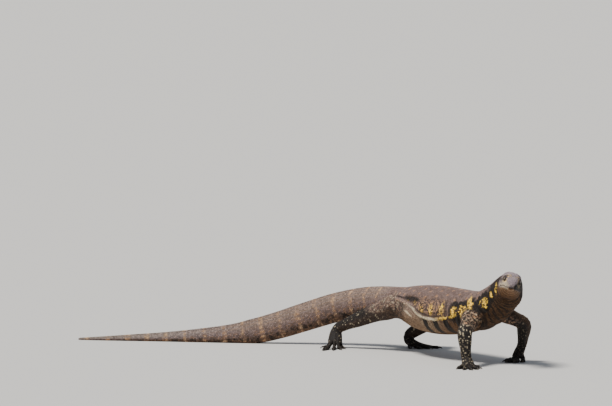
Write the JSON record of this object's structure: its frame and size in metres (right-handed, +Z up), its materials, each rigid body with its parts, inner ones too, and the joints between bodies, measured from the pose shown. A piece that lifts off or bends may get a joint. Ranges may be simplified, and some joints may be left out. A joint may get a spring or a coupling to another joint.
{
  "type": "nile monitor",
  "caption": "Large long-bodied lizard in a low walk with its head turned to one side, on four clawed feet, with a long keeled tail that lies on the ground",
  "frame": {"origin": "middle of the box round the animal, at the level of the floor that it stands on", "axes": "+X is the way the trunk heads, +Y is the animal's left, +Z is up"},
  "size_m": [1.0328, 0.5754, 0.1945],
  "materials": {
    "skin": "matte scaled skin, brown-grey with pale yellow spots and bars",
    "claw": "dark horn, slightly glossy",
    "eye": "wet, glossy"
  },
  "bodies": {
    "root": {"arm_lower_left": "skin", "arm_lower_right": "skin", "arm_upper_left": "skin", "arm_upper_right": "skin", "eye_left": "eye", "eye_right": "eye", "foot_left": "skin", "foot_right": "skin", "hand_left": "skin", "hand_right": "skin", "head": "skin", "leg_lower_left": "skin", "leg_lower_right": "skin", "leg_upper_left": "skin", "leg_upper_right": "skin", "lower_jaw": "skin", "neck": "skin", "tail_1": "skin", "tail_2": "skin", "tail_3": "skin", "tail_4": "skin", "tail_5": "skin", "torso": "skin", "claw_hand_left_1": "claw", "claw_hand_left_2": "claw", "claw_hand_left_3": "claw", "claw_hand_left_4": "claw", "claw_hand_left_5": "claw", "claw_hand_right_1": "claw", "claw_hand_right_2": "claw", "claw_hand_right_3": "claw", "claw_hand_right_4": "claw", "claw_hand_right_5": "claw", "claw_foot_left_1": "claw", "claw_foot_left_2": "claw", "claw_foot_left_3": "claw", "claw_foot_left_4": "claw", "claw_foot_left_5": "claw", "claw_foot_right_1": "claw", "claw_foot_right_2": "claw", "claw_foot_right_3": "claw", "claw_foot_right_4": "claw", "claw_foot_right_5": "claw"}
  },
  "joints": []
}
